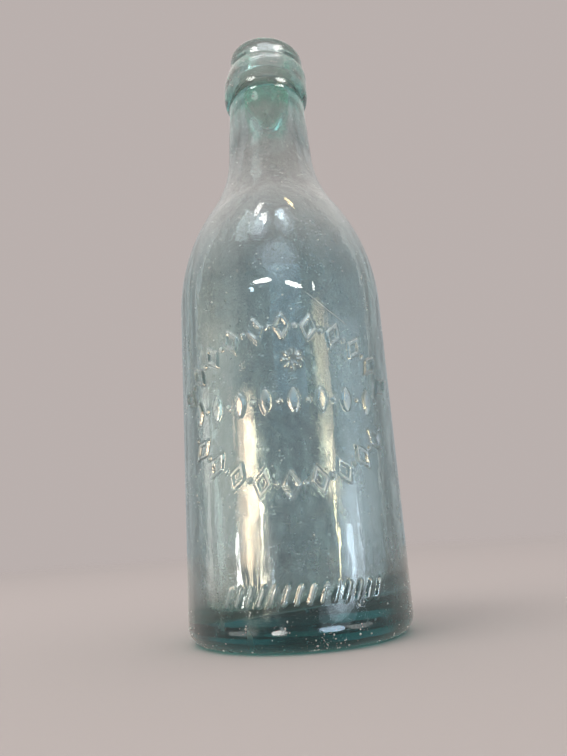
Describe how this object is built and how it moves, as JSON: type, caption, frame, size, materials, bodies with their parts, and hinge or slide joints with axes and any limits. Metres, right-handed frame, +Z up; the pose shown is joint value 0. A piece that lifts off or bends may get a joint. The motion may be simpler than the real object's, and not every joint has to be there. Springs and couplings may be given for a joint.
{
  "type": "marble stopper bottle",
  "caption": "Thick aqua glass soda bottle with a tapered neck, a rounded collar and a glass marble that seals from inside against a rubber ring.",
  "frame": {"origin": "centre of the base, in the plane of the ring that the bottle stands on", "axes": "+Z up the bottle's axis to the mouth, -Y to the front, where the panel and the low band of relief are, +X to the right seen from the front"},
  "size_m": [0.06, 0.06, 0.184],
  "materials": {
    "aqua_glass": "gloss, pale aqua, worn at the heel",
    "gum_rubber": "aged translucent gum rubber, satin",
    "marble_glass": "gloss, pale aqua"
  },
  "bodies": {
    "glass": {"bottle": "aqua_glass", "seal_ring": "gum_rubber"},
    "stopper": {"marble": "marble_glass"}
  },
  "joints": [
    {"name": "marble_drop", "type": "slide", "parent": "glass", "child": "stopper", "axis": [0, 0, -1], "range_m": [0, 0.1514]}
  ]
}
